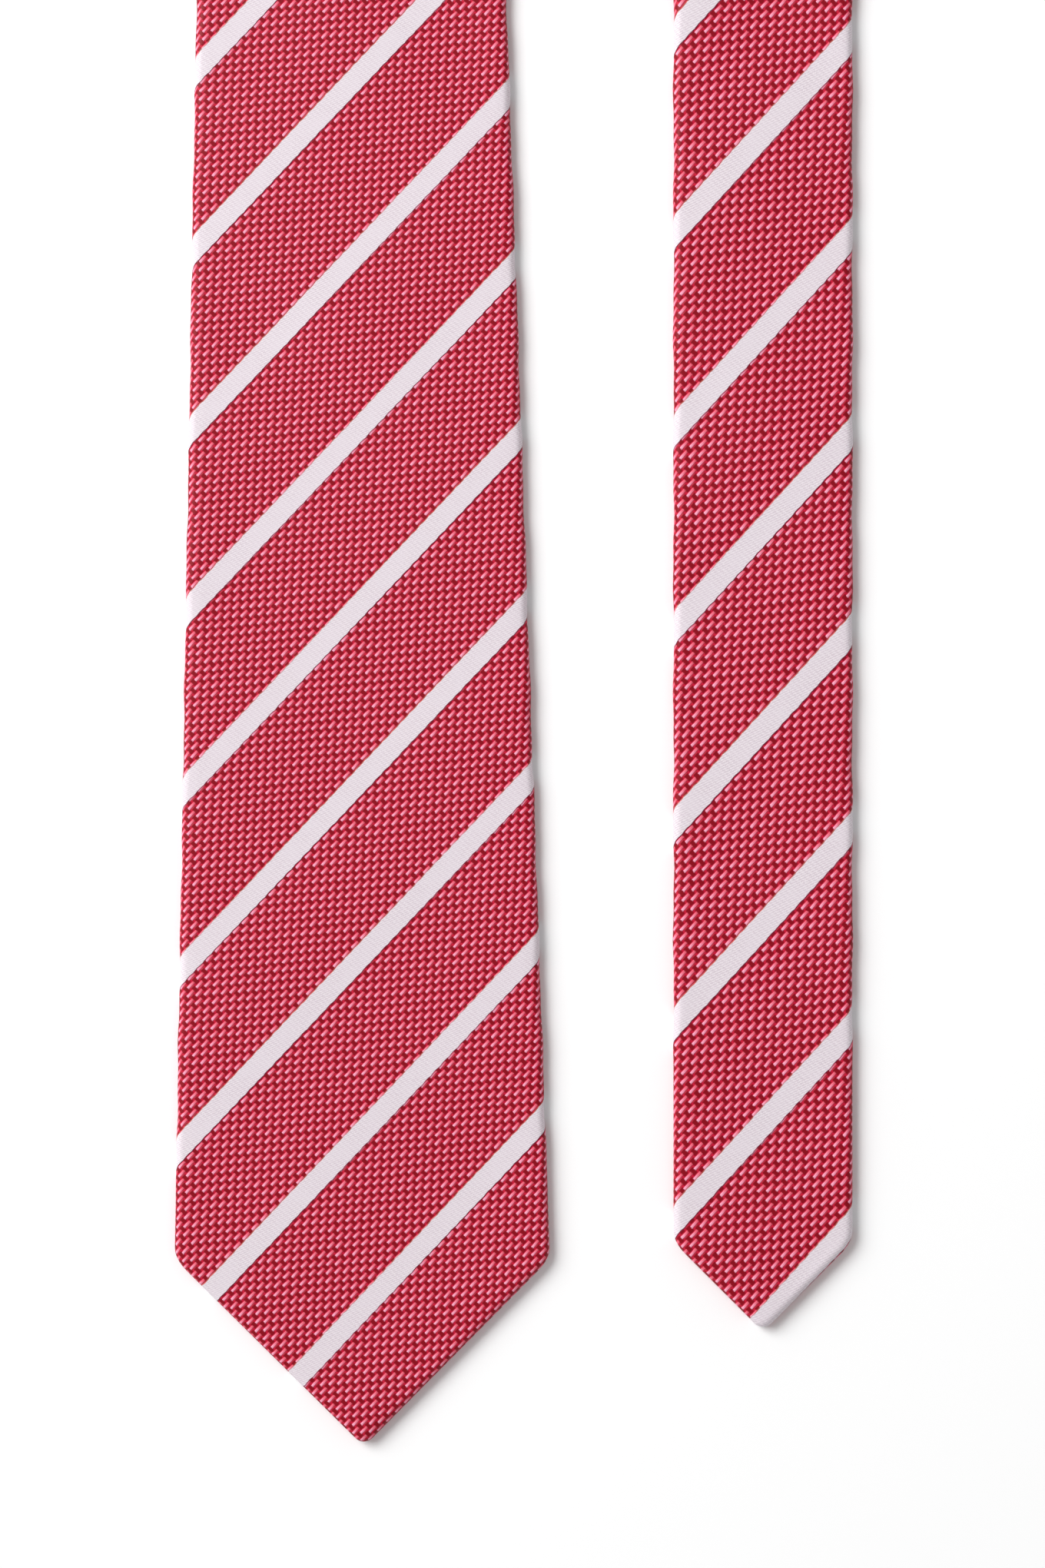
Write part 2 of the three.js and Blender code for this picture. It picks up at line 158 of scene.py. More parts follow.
def lay(u, s, t):
    """Where the point (u, s, t) of the tie lies, in metres."""
    u, s, t = np.broadcast_arrays(np.asarray(u, float), np.asarray(s, float), np.asarray(t, float))
    into_a, into_b = (s - FOLD_A - u) / ROOT2, (s - FOLD_B + u) / ROOT2
    radius = FOLD_RADIUS + t - EDGE
    eased = np.clip(s - LEAN_LOW, 0, LEAN_HIGH - LEAN_LOW)
    bent = eased - eased ** 2 / (2 * (LEAN_HIGH - LEAN_LOW))
    y = TIP_Y + s
    blade = (BLADE_X - LEAN * (np.minimum(s, LEAN_LOW) + bent) + u, y, lift(y) + t)
    along, turn = (s - FOLD_A + u) / 2, into_a / FOLD_RADIUS
    out = radius * np.sin(turn) / ROOT2
    roll_a = (FOLD_A_X + along - out, FOLD_A_Y + along + out, EDGE + FOLD_RADIUS + radius * np.cos(turn))
    neck = (FOLD_A_X - ROLL_OFFSET + s - FOLD_A, NECK_Y + u, THICK - t)
    along, turn = (s - FOLD_B - u) / 2, into_b / FOLD_RADIUS
    out = radius * np.sin(turn) / ROOT2
    roll_b = (FOLD_B_X + along + out, NECK_Y - along + out, EDGE + FOLD_RADIUS - radius * np.cos(turn))
    y = NECK_Y + ROLL_OFFSET - (s - FOLD_B)
    tail = (TAIL_X - u, y, lift(y) + t)
    which = [into_a <= 0, into_a < ROLL, into_b <= 0, into_b < ROLL]
    parts = [np.select(which, [blade[i], roll_a[i], neck[i], roll_b[i]], tail[i]) for i in range(3)]
    return np.stack(parts, -1) * MM


def skew_at(s0):
    """The slant of the row at s0."""
    return float(np.interp(s0, SKEW[:, 0], SKEW[:, 1]))


def diamond(s, window):
    """Half width of the lining's diamond-shaped opening at s."""
    rising = window["side"] * (s - window["low"]) / (window["at"] - window["low"])
    falling = window["side"] * (window["top"] - s) / (window["top"] - window["at"])
    return np.maximum(np.minimum(rising, falling), 0)


def patch(u, s):
    """How far the back is pressed in under the keeper loop and the labels."""
    across = ease((PATCH["half"] + 3 - np.abs(u)) / 4)
    return PATCH["depth"] * across * ease((s - PATCH["low"] + 4) / 5) * ease((PATCH["high"] + 4 - s) / 5)


def swell(u, s):
    """The soft, slightly uneven lie of the silk over its interlining."""
    lies_free = 1 - ease((s - BLADE_SEAM + 50) / 30) * ease((TAIL_CLEAR + 50 - s) / 30)
    return lies_free * (0.13 * np.sin(s / 9.3 + 1.3) * np.cos(u / 8.1)
                        + 0.09 * np.sin((s + 0.8 * u) / 5.2 + 0.4) + 0.10 * np.cos(u / 13 + s / 41))


# ---------------------------------------------------------------- meshes
TOO_CLOSE = 2e-7            # metres
ROUNDING = 1e-9
FRONT, SIDE, BACK = 32, 10, 14          # steps over the face, round each rolled edge and over each back flap
HEM_COLUMNS = np.array([3.0, 1.5, 0.8, 0.35, 0.0])    # mm from a flap's edge
SHARP = math.radians(60)


def make(name, verts, faces, uvs, material):
    """A mesh object from points in metres, faces, and one (a, b) in mm for each point's cloth."""
    mesh = bpy.data.meshes.new(name)
    mesh.from_pydata([tuple(v) for v in verts], [], faces)
    layer = mesh.uv_layers.new(name="cloth")
    loops = np.zeros(len(mesh.loops), np.int32)
    mesh.loops.foreach_get("vertex_index", loops)
    layer.data.foreach_set("uv", np.asarray(uvs, np.float32)[loops].ravel())
    obj = bpy.data.objects.new(name, mesh)
    bpy.context.scene.collection.objects.link(obj)
    work = bmesh.new()
    work.from_mesh(mesh)
    bmesh.ops.remove_doubles(work, verts=work.verts, dist=TOO_CLOSE)
    bmesh.ops.dissolve_degenerate(work, edges=work.edges, dist=TOO_CLOSE)
    work.to_mesh(mesh)
    work.free()
    mesh.polygons.foreach_set("use_smooth", [True] * len(mesh.polygons))
    mesh.materials.append(material)
    return obj


def bake(obj):
    """Turns an object's modifiers into plain mesh."""
    view = bpy.context.evaluated_depsgraph_get()
    mesh = bpy.data.meshes.new_from_object(obj.evaluated_get(view))
    obj.modifiers.clear()
    obj.data = mesh


def thicken(obj, thickness, offset):
    """Gives a surface its real thickness, as a closed mesh with crisp cut ends."""
    solid = obj.modifiers.new("thickness", "SOLIDIFY")
    solid.thickness, solid.offset, solid.use_rim = thickness * MM, offset, True
    bake(obj)
    obj.data.set_sharp_from_angle(angle=SHARP)


def grid_faces(rows, cols):
    """Quads between the points of a grid that is stored row by row."""
    return [(i * cols + j, i * cols + j + 1, (i + 1) * cols + j + 1, (i + 1) * cols + j)
            for i in range(rows - 1) for j in range(cols - 1)]


def texture(u, s):
    """Where a point of the flat cloth lies in the weave: three cuts, each with its own lie."""
    if s.mean() > TAIL_SEAM:
        return -u / TAIL_SCALE_U, (LENGTH - s) / TAIL_SCALE_S + TAIL_SHIFT
    if s.mean() > BLADE_SEAM:
        return u, s + NECK_SHIFT
    return u, s


def tip_rows(radius, from_tail):
    """Rows round the very point, as (half width, s, normal across, normal along)."""
    centre = -EDGE - POINT_EASE + radius * ROOT2
    rows = []
    for angle in np.linspace(0, math.pi / 4, 8):
        h, d = radius * math.sin(angle), centre - radius * math.cos(angle)
        s, along = (LENGTH - d, math.cos(angle)) if from_tail else (d, -math.cos(angle))
        rows.append([(h, s, math.sin(angle), along)] * 2)
    return rows[::-1] if from_tail else rows


def body_row(s0):
    """A row across the tie at s0, slanted where the tie folds, as (half width, s, normal) on each side."""
    skew, sides, step = skew_at(s0), [], 0.05
    for side in (1, -1):
        s = s0
        for _ in range(4):    # settles on where the slanted row meets the edge
            h = float(outline(s))
            s = s0 + skew * side * h
        slope = float(outline(s + step, 0) - outline(s - step, 0)) / 0.1
        f = math.hypot(1, slope)
        sides.append((h, s, 1 / f, -slope / f))
    return sides


def section(sides, s0, window):
    """One row from back flap over the face to back flap: each (u, s), place in the cut cloth, and height."""
    halves = []
    for side, (h, s, nx, ns) in zip((1, -1), sides):
        n, edge = np.array([side * nx, ns]), np.array([side * h, s])
        start = edge - n * EDGE
        phi = np.linspace(math.pi / 2, -math.pi / 2, SIDE + 1)[1:, None]
        p_roll = start + n * EDGE * np.cos(phi)
        d_roll = start + n * EDGE * (math.pi / 2 - phi)
        t_roll = EDGE + EDGE * np.sin(phi[:, 0])
        inner = abs(start[0])
        gap = min(max(SEAM_GAP, float(diamond(s, window))), 0.97 * inner)
        run = inner - gap
        narrow = min(1.0, run / NARROW)
        hem = HEM_COLUMNS * narrow
        spots = np.concatenate([np.linspace(0, run - hem[0], BACK - len(hem) + 1)[1:-1], run - hem])
        u = side * (inner - spots)
        s_back = s + skew_at(s0) * (u - start[0]) - ns * EDGE
        p_back = np.stack([u, s_back], -1)
        inward = ((start - p_back) @ n)[:, None]
        d_back = p_back + n * (2 * inward + math.pi * EDGE)
        dip = HEM_DIP * np.exp(-((run - spots) / (HEM_WIDTH * narrow + 1e-6)) ** 2)
        rise = BACK_RISE * ease(spots / RISE_RUN) * narrow
        t_back = dip * min(1.0, 2 * run / NARROW) + np.maximum(rise, patch(u, s_back))
        halves.append((np.vstack([p_roll, p_back]), np.vstack([d_roll, d_back]),
                       np.concatenate([t_roll, t_back]), start))
    (pr, dr, tr, start_r), (pl, dl, tl, start_l) = halves
    x = np.linspace(0, 1, FRONT + 1)[:, None]
    front = start_l + (start_r - start_l) * x
    fade = 1 - (2 * x[:, 0] - 1) ** 4
    t_front = THICK + swell(front[:, 0], front[:, 1]) * fade * min(1.0, sides[0][0] / NARROW)
    flat = np.vstack([pl[::-1], front, pr])
    dev = np.vstack([dl[::-1], front, dr])
    t = np.concatenate([tl[::-1], t_front, tr])
    for seam in (BLADE_SEAM, TAIL_SEAM):
        t = t + (EDGE - t) * PINCH * math.exp(-((s0 - seam) / PINCH_WIDTH) ** 2)
    return flat, dev, t


def stations(low, high, step, *dense):
    """Values from low to high, step apart, and closer in each (low, high, step) stretch."""
    marks = [low]
    while marks[-1] < high - ROUNDING:
        here = marks[-1]
        stride = min([d[2] for d in dense if d[0] - ROUNDING <= here < d[1] - ROUNDING] or [step])
        ahead = [d[0] for d in dense if here < d[0] - ROUNDING]
        marks.append(min([here + stride, high] + [a for a in ahead if a > here]))
    return marks


def cloth(name, rows, window, nodes, body=None, blend=None):
    """A stretch of the folded silk, closed all round."""
    flat, dev, t = zip(*[section(sides, s0, window) for s0, sides in rows])
    cols = len(t[0])
    flat, dev, t = np.array(flat), np.array(dev), np.array(t)
    a, b = texture(dev[..., 0], dev[..., 1])
    verts = lay(flat[..., 0], flat[..., 1], t).reshape(-1, 3)
    obj = make(name, verts, grid_faces(len(rows), cols), np.stack([a, b], -1).reshape(-1, 2), silk)
    thicken(obj, CLOTH, -1)
    for vert in obj.data.vertices:
        vert.co.z = max(vert.co.z, 0.0)
    d1, d2 = dev[1:, 1:] - dev[:-1, :-1], dev[1:, :-1] - dev[:-1, 1:]
    area = float(np.abs(d1[..., 0] * d2[..., 1] - d1[..., 1] * d2[..., 0]).sum() / 2)
    settle(obj, nodes, body, blend)


def settle(obj, nodes, body=None, blend=None):
    """Hides the CAD nodes that a piece stands for and attaches it to the body it moves with; a piece given a
    blend is only fixed in place.
    """
    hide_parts(*nodes)
    if blend:
        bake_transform(obj)
    else:
        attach(obj, body)


def slab(name, s_list, half, t, thickness, material, slot, nodes, cols, body=None, blend=None,
         skewed=False, rests_on="floor", rounded=0.0):
    """A flat layer such as the interlining, a lining or a label: half(s) wide, centred at height t(u, s)."""
    x = np.linspace(-1, 1, cols + 1)
    s0 = np.array(s_list, float)[:, None]
    k = np.array([skew_at(v) if skewed else 0.0 for v in s_list])[:, None]
    u = half(s0) * x
    s = s0 + k * u
    verts = lay(u, s, t(u, s)).reshape(-1, 3)
    uvs = np.stack(np.broadcast_arrays(u, s), -1).reshape(-1, 2)
    obj = make(name, verts, grid_faces(len(s_list), cols + 1), uvs, material)
    thicken(obj, thickness, 0)
    if rounded:
        soft = obj.modifiers.new("edge", "BEVEL")
        soft.width, soft.segments, soft.limit_method, soft.angle_limit = rounded * MM, 2, "ANGLE", 0.8
        bake(obj)
    settle(obj, nodes, body, blend)
    width = 2 * float(np.max(half(s0)))
    area = float(np.trapz(2 * half(s0)[:, 0], s0[:, 0]))


def thread(name, paths, radius, material, nodes, body=None, blend=None, sides=7):
    """Short lengths of twisted thread: each path is a list of (u, s, t), thinner at both ends."""
    verts, faces, uvs = [], [], []
    for path in paths:
        centre = lay(*np.array(path, float).T)
        tangent = np.gradient(centre, axis=0)
        tangent /= np.linalg.norm(tangent, axis=1)[:, None]
        side = np.cross(tangent, [0.0, 0.0, 1.0])
        weak = np.linalg.norm(side, axis=1) < 0.3
        side[weak] = np.cross(tangent[weak], [0.0, 1.0, 0.0])
        side /= np.linalg.norm(side, axis=1)[:, None]
        up = np.cross(side, tangent)
        ring = np.linspace(0, 2 * math.pi, sides, endpoint=False)
        reach = np.concatenate([[0], np.cumsum(np.linalg.norm(np.diff(centre, axis=0), axis=1))])
        base = len(verts)
        for i, c in enumerate(centre):
            r = radius * MM * (0.55 if i in (0, len(centre) - 1) else 1.0)
            for angle in ring:
                verts.append(c + r * (math.cos(angle) * side[i] + math.sin(angle) * up[i]))
                uvs.append((angle * radius, reach[i] / MM))
        for i in range(len(centre) - 1):
            for j in range(sides):
                k = (j + 1) % sides
                near, far = base + i * sides, base + (i + 1) * sides
                faces.append((near + j, near + k, far + k, far + j))
        faces.append(tuple(base + j for j in reversed(range(sides))))
        faces.append(tuple(base + (len(centre) - 1) * sides + j for j in range(sides)))
    obj = make(name, verts, faces, uvs, material)
    work = bmesh.new()
    work.from_mesh(obj.data)
    bmesh.ops.recalc_face_normals(work, faces=work.faces)
    work.to_mesh(obj.data)
    work.free()
    settle(obj, nodes, body, blend)


# ---------------------------------------------------------------- materials
class Value:
    """A shader number that can be used in plain arithmetic."""

    def __init__(self, net, socket):
        self.net, self.socket = net, socket

    def __add__(self, other): return self.net.math("ADD", self, other)
    def __sub__(self, other): return self.net.math("SUBTRACT", self, other)
    def __rsub__(self, other): return self.net.math("SUBTRACT", other, self)
    def __mul__(self, other): return self.net.math("MULTIPLY", self, other)
    def __truediv__(self, other): return self.net.math("DIVIDE", self, other)


class Net:
    """A material's node tree."""

    def __init__(self, name):
        self.material = bpy.data.materials.new(name)
        self.material.use_nodes = True
        self.tree = self.material.node_tree
        self.shader = self.tree.nodes["Principled BSDF"]

    def node(self, kind, **settings):
        made = self.tree.nodes.new(kind)
        for key, value in settings.items():
            setattr(made, key, value)
        return made

    def feed(self, socket, value):
        if isinstance(value, Value):
            self.tree.links.new(value.socket, socket)
        elif isinstance(value, bpy.types.NodeSocket):
            self.tree.links.new(value, socket)
        else:
            socket.default_value = value

    def math(self, op, *args):
        made = self.node("ShaderNodeMath", operation=op)
        for i, arg in enumerate(args):
            self.feed(made.inputs[i], arg)
        return Value(self, made.outputs[0])

    def coords(self):
        """A point's place in the cut cloth, in mm: across, along, and both as a vector."""
        uv = self.node("ShaderNodeUVMap", uv_map="cloth")
        split = self.node("ShaderNodeSeparateXYZ")
        self.tree.links.new(uv.outputs[0], split.inputs[0])
        return Value(self, split.outputs[0]), Value(self, split.outputs[1]), uv.outputs[0]

    def noise(self, scale, detail=2.0, vector=None):
        made = self.node("ShaderNodeTexNoise")
        made.inputs["Scale"].default_value = scale
        made.inputs["Detail"].default_value = detail
        if vector is not None:
            self.tree.links.new(vector, made.inputs["Vector"])
        return Value(self, made.outputs[0])

    def mix(self, factor, first, second):
        made = self.node("ShaderNodeMix", data_type="RGBA")
        self.feed(made.inputs[0], factor)
        self.feed(made.inputs[6], first)
        self.feed(made.inputs[7], second)
        return made.outputs[2]

    def smooth(self, value, low, high):
        """A smooth step from 0 at low to 1 at high."""
        made = self.node("ShaderNodeMapRange", interpolation_type="SMOOTHSTEP")
        self.feed(made.inputs[0], value)
        made.inputs[1].default_value, made.inputs[2].default_value = low, high
        return Value(self, made.outputs[0])

    def finish(self, colour, height=None, depth=0.1, roughness=0.5, **fixed):
        self.feed(self.shader.inputs["Base Color"], colour)
        self.feed(self.shader.inputs["Roughness"], roughness)
        if height is not None:
            bump = self.node("ShaderNodeBump")
            bump.inputs["Strength"].default_value = 1.0
            bump.inputs["Distance"].default_value = depth * MM
            self.feed(bump.inputs["Height"], height)
            self.tree.links.new(bump.outputs[0], self.shader.inputs["Normal"])
        for key, value in fixed.items():
            self.shader.inputs[key.replace("_", " ")].default_value = value
        return self.material


def rgb(r, g, b, exposure=1.14):
    """A base colour from an sRGB colour as it looks under the studio light."""
    def linear(c):
        c /= 255
        return (c / 12.92 if c <= 0.04045 else ((c + 0.055) / 1.055) ** 2.4) / exposure
    return (linear(r), linear(g), linear(b), 1.0)


def silk_material():
    """Red basket-woven silk with pale satin stripes on the bias."""
    net = Net("woven_silk")
    a, b, uv = net.coords()
    wander = net.noise(0.35, 2, uv) - 0.5
    tiny = net.noise(2.4, 1, uv) - 0.5
    grain = net.noise(5.0, 1, uv) - 0.5
    a2, b2 = a + tiny * 0.22, b + wander * 0.5 + tiny * 0.2
    m = a2 * WEAVE_ALONG[0] + b2 * WEAVE_ALONG[1]
    n = a2 * WEAVE_ACROSS[0] - b2 * WEAVE_ACROSS[1]
    row = net.math("ROUND", n * 2.0)
    across = n * 2.0 - row
    along = net.math("FRACT", m - row * 0.5 + 0.5) - 0.5
    beyond = 1.0 - net.math("ABSOLUTE", across)
    reach_along, reach_across = net.math("ABSOLUTE", along), net.math("ABSOLUTE", across)

    def inside(x, edge, soft):
        return 1.0 - net.smooth(x, edge - soft, edge + soft)
    # pink floats lie along the rows; crimson ones cross between them and dip under at both ends.
    # Each shape is given by its half length or half width, in repeats, and how soft its edge is.
    float_shape = inside(reach_along, 0.34, 0.045) * inside(reach_across, 0.225, 0.065)
    under_a = inside(0.5 - reach_along, 0.175, 0.05) * inside(reach_across, 0.60, 0.12)
    under_b = inside(reach_along, 0.175, 0.05) * inside(beyond, 0.60, 0.12)
    under = net.math("MAXIMUM", under_a, under_b)
    ply = net.smooth(net.math("ABSOLUTE", across + along * 0.12), 0.0, 0.07)
    warm = net.noise(0.9, 2, uv)
    # painted highlight: each pink float is lighter towards one end, where it catches the light
    pink = net.mix(net.smooth(along, -0.34, 0.3), rgb(255, 176, 204), rgb(238, 100, 122))
    pink = net.mix((1.0 - ply) * 0.35, pink, rgb(214, 74, 96))
    ground = net.mix(net.smooth(warm, 0.3, 0.7), rgb(196, 14, 54), rgb(206, 28, 58))
    # painted shade: where the crimson floats dip under, between the pink floats, the cloth is painted in
    # near-black crimson
    weave = net.mix(under, ground, rgb(138, 0, 22))
    weave = net.mix(float_shape, weave, pink)
    round_pink = 1.0 - (across / 0.3) * (across / 0.3)
    weave_height = net.math("MAXIMUM", float_shape * (round_pink * 0.4 + 0.6), under * 0.5)

    # satin stripes, with the weave nibbling at their edges
    q = b - a * STRIPE_SLOPE + wander * 0.25
    nearest = net.math("FRACT", (q - FIRST_STRIPE) / STRIPE_PITCH + 0.5)
    from_centre = (nearest - 0.5) * STRIPE_PITCH
    scallop = net.math("ABSOLUTE", net.math("SINE", m * math.pi + 0.6)) * 0.16
    beside = net.math("ABSOLUTE", from_centre) + scallop
    stripe = 1.0 - net.smooth(beside, 3.24, 3.40)
    # painted highlight and shade on the stripes' rims: a pale line on the upper-left edge, where the light
    # falls, and a darker, stronger one on the lower-right edge, in shade
    lower = net.smooth(from_centre * -1.0, 0.0, 0.1)
    rim = net.smooth(beside, 3.2, 3.36) * (1.0 - net.smooth(beside, 3.42, 3.75))
    fine = net.math("SINE", (b * 0.914 - a * 0.407) * (2 * math.pi / 0.43) + tiny * 4.0)
    picks = net.math("SINE", (b * 0.75 + a * 0.66) * (2 * math.pi / 0.9))
    sheen = net.noise(0.22, 3, uv)
    threads = net.smooth(fine + picks * 0.4 + grain * 5.0, -1.6, 1.6)
    satin = net.mix(threads, rgb(210, 196, 205), rgb(238, 229, 234))
    satin = net.mix(net.smooth(sheen, 0.3, 0.75) * 0.5, satin, rgb(228, 218, 225))
    colour = net.mix(stripe, weave, satin)
    rim_highlight_and_shade = net.mix(lower, rgb(226, 150, 130), rgb(104, 16, 50))
    colour = net.mix(rim * (lower * 0.45 + 0.4), colour, rim_highlight_and_shade)
    height = weave_height * (1.0 - stripe) + (fine * 0.04 + 0.5) * stripe
    roughness = 0.46 - stripe * 0.04
    return net.finish(colour, height, 0.13, roughness, Specular_IOR_Level=0.16)


def satin_lining():
    """Plain satin lining in a deep wine colour, with its fine rib."""
    net = Net("satin_lining")
    a, b, uv = net.coords()
    sheen_patches = net.noise(0.12, 3, uv)
    rib = net.math("SINE", (a * 0.9 + b * 0.44) * (2 * math.pi / 0.5))
    cross = net.math("SINE", (b * 0.9 - a * 0.44) * (2 * math.pi / 0.34))
    colour = net.mix(net.smooth(rib + cross * 0.6, -1.5, 1.5), rgb(122, 14, 36), rgb(158, 30, 54))
    # painted sheen: lighter wine patches at random over the satin
    colour = net.mix(net.smooth(sheen_patches, 0.3, 0.75) * 0.4, colour, rgb(186, 52, 76))
    return net.finish(colour, rib * 0.5 + cross * 0.3, 0.03, 0.3, Specular_IOR_Level=0.6, Sheen_Weight=0.25)


def wool_material():
    """Brushed wool and cotton interlining, cream with loose fibres."""
    net = Net("wool_interlining")
    a, b, uv = net.coords()
    warp = net.math("SINE", a * (2 * math.pi / 0.8))
    weft = net.math("SINE", b * (2 * math.pi / 0.9))
    fuzz = net.noise(3.0, 4, uv)
    colour = net.mix(net.smooth(warp * weft + fuzz * 2.0, 0.0, 2.0), rgb(206, 194, 172), rgb(236, 228, 210))
    return net.finish(colour, warp * weft * 0.5 + fuzz, 0.12, 0.9, Sheen_Weight=0.4)


def thread_material(name, light, dark):
    """Twisted sewing silk."""
    net = Net(name)
    a, b, _ = net.coords()
    twist = net.math("SINE", (b + a * 2.2) * (2 * math.pi / 0.55))
    colour = net.mix(net.smooth(twist, -0.9, 0.7), dark, light)
    return net.finish(colour, twist, 0.05, 0.45, Specular_IOR_Level=0.5, Sheen_Weight=0.2)


def label_material(name, ground, border, place):
    """A blank woven ribbon with a narrow woven border."""
    net = Net(name)
    a, b, _ = net.coords()
    side = net.math("ABSOLUTE", a)
    middle = (place["low"] + place["high"]) / 2
    reach = (place["high"] - place["low"]) / 2
    end = net.math("ABSOLUTE", b - middle)
    edge_in = net.math("MINIMUM", place["half"] - side, reach - end)
    line = net.smooth(edge_in, 1.2, 1.4) * (1.0 - net.smooth(edge_in, 1.8, 2.0))
    warp = net.math("SINE", a * (2 * math.pi / 0.36))
    weft = net.math("SINE", b * (2 * math.pi / 0.42) + net.math("ROUND", a / 0.36) * math.pi)
    light = tuple(min(1, c * 1.25) for c in ground[:3]) + (1,)
    colour = net.mix(net.smooth(warp + weft, -1.6, 1.6), ground, light)
    colour = net.mix(line * 0.85, colour, border)
    height = warp * 0.4 + weft * 0.5 + line * 1.2
    return net.finish(colour, height, 0.06, 0.42, Specular_IOR_Level=0.5, Sheen_Weight=0.2)


def floor_material():
    """Matt white paper, very slightly mottled."""
    net = Net("studio_floor")
    place = net.node("ShaderNodeTexCoord").outputs["Object"]
    speck = net.noise(2.0, 2, place)
    colour = net.mix(net.smooth(speck, 0.2, 0.8), (0.90, 0.90, 0.90, 1), (0.905, 0.905, 0.905, 1))
    return net.finish(colour, roughness=0.9, Specular_IOR_Level=0.1)


silk = silk_material()
lining = satin_lining()
wool = wool_material()
red_thread = thread_material("red_thread", rgb(196, 40, 66), rgb(120, 8, 30))
pale_thread = thread_material("pale_thread", rgb(232, 224, 228), rgb(180, 168, 178))
maker_ribbon = label_material("maker_ribbon", rgb(226, 218, 222), rgb(150, 24, 52), MAKER_LABEL)
care_ribbon = label_material("care_ribbon", rgb(238, 236, 234), rgb(190, 186, 188), CARE_LABEL)

# ---------------------------------------------------------------- where each stretch bends
def at(s):
    """The middle of the tie at s."""
    return tuple(lay(0.0, s, EDGE))


def up_to(z):
    """A point beside the neck at height z, in mm: the folds bend from the neck upward."""
    return (0.0, 0.34, z * MM)


BLADE_BEND = ("blade_point", "blade", at(BLADE_TURN - BLADE_BEND_REACH), at(BLADE_TURN + BLADE_BEND_REACH))
TAIL_BEND = ("tail", "tail_point", at(LENGTH - TAIL_TURN - TAIL_BEND_REACH),
             at(LENGTH - TAIL_TURN + TAIL_BEND_REACH))
FOLD_A_BEND = ("neck", "blade", up_to(THICK), up_to(2 * FOLD_RADIUS))
FOLD_B_BEND = ("neck", "tail", up_to(THICK), up_to(2 * FOLD_RADIUS))

# ---------------------------------------------------------------- the silk
# rows lie closer at the points, the shoulders, the opening's end, the bends, the seams and the folds
blade_low = stations(0.6, BLADE_SPLIT, 2.6, (0.6, 34, 1.3), (34, 47, 0.8), (136, 164, 1.4), (108, 114, 1.0))
blade_up = stations(BLADE_SPLIT, BLADE_SEAM, 3.0, (640, BLADE_SEAM, 1.8))
fold_left = stations(BLADE_SEAM, NECK_MIDDLE, 2.0, (FOLD_A, FOLD_A + ROLL_ALONG, 0.75))
fold_right = stations(NECK_MIDDLE, TAIL_CLEAR, 2.0, (FOLD_B, FOLD_B + ROLL_ALONG, 0.75))
tail_up = stations(TAIL_CLEAR, TAIL_SEAM, 3.0, (1060, TAIL_SEAM, 1.8))
tail_low = stations(TAIL_SEAM, LENGTH - 0.6, 2.6, (TAIL_SEAM, 1140, 1.8), (1355, 1385, 1.4),
                    (LENGTH - 24, LENGTH - 15, 0.7), (LENGTH - 15, LENGTH, 0.9))


def rows_for(marks):
    """Rows across the tie at the given places."""
    return [(s0, body_row(s0)) for s0 in marks]


first_tip = [(0.0, sides) for sides in tip_rows(BLADE_TIP, False)]
last_tip = [(LENGTH, sides) for sides in tip_rows(TAIL_TIP, True)]
CLOSED = dict(low=-2, side=0, at=-1, top=0)    # no opening in the back


def keep_clear(marks, radius, from_tail):
    """Drops rows that would fall inside the point's own arc."""
    margin = 0.4
    edge = -EDGE - POINT_EASE + radius / ROOT2 + margin
    return [m for m in marks if (LENGTH - m if from_tail else m) > edge]


def from_blade(window):
    """The tail's opening, with its places counted from the blade's point."""
    ends = {key: LENGTH - window[key] for key in ("low", "at", "top")}
    return dict(window, **ends)


cloth("blade_silk", first_tip + rows_for(keep_clear(blade_low, BLADE_TIP, False)), BLADE_WINDOW,
      ["blade_point_shell", "blade_shell"], blend=BLADE_BEND)
cloth("blade_upper_silk", rows_for(blade_up), CLOSED, ["blade_shell"], body="blade")
cloth("blade_fold_silk", rows_for(fold_left), CLOSED, ["blade_fold_shell", "neck_shell"], blend=FOLD_A_BEND)
cloth("neck_silk", rows_for(fold_right), CLOSED, ["tail_fold_shell", "neck_shell"], blend=FOLD_B_BEND)
cloth("tail_upper_silk", rows_for(tail_up), CLOSED, ["tail_shell"], body="tail")
cloth("tail_silk", rows_for(keep_clear(tail_low, TAIL_TIP, True)) + last_tip, from_blade(TAIL_WINDOW),
      ["tail_shell", "tail_point_shell"], blend=TAIL_BEND)

# ---------------------------------------------------------------- interlining
def core_half(s):
    return np.maximum(outline(s) - CORE_INSET, 0.4)


def core_t(u, s):
    return CORE_T + 0 * u


def core(name, marks, nodes, **moves):
    """A stretch of the wool strip inside the silk."""
    slab(name, marks, core_half, core_t, CORE, wool, "interlining", nodes, 10, skewed=True, **moves)


core("blade_core", stations(5, BLADE_SPLIT, 5), ["blade_point_interlining", "blade_interlining"],
     blend=BLADE_BEND)
core("blade_upper_core", stations(BLADE_SPLIT, BLADE_SEAM, 5), ["blade_interlining"], body="blade")
core("blade_fold_core", fold_left, ["blade_fold_interlining", "neck_interlining"], blend=FOLD_A_BEND)
core("neck_core", fold_right, ["tail_fold_interlining", "neck_interlining"], blend=FOLD_B_BEND)
core("tail_upper_core", stations(TAIL_CLEAR, TAIL_SEAM, 5), ["tail_interlining"], body="tail")
core("tail_core", stations(TAIL_SEAM, LENGTH - 5, 5), ["tail_interlining", "tail_point_interlining"],
     blend=TAIL_BEND)

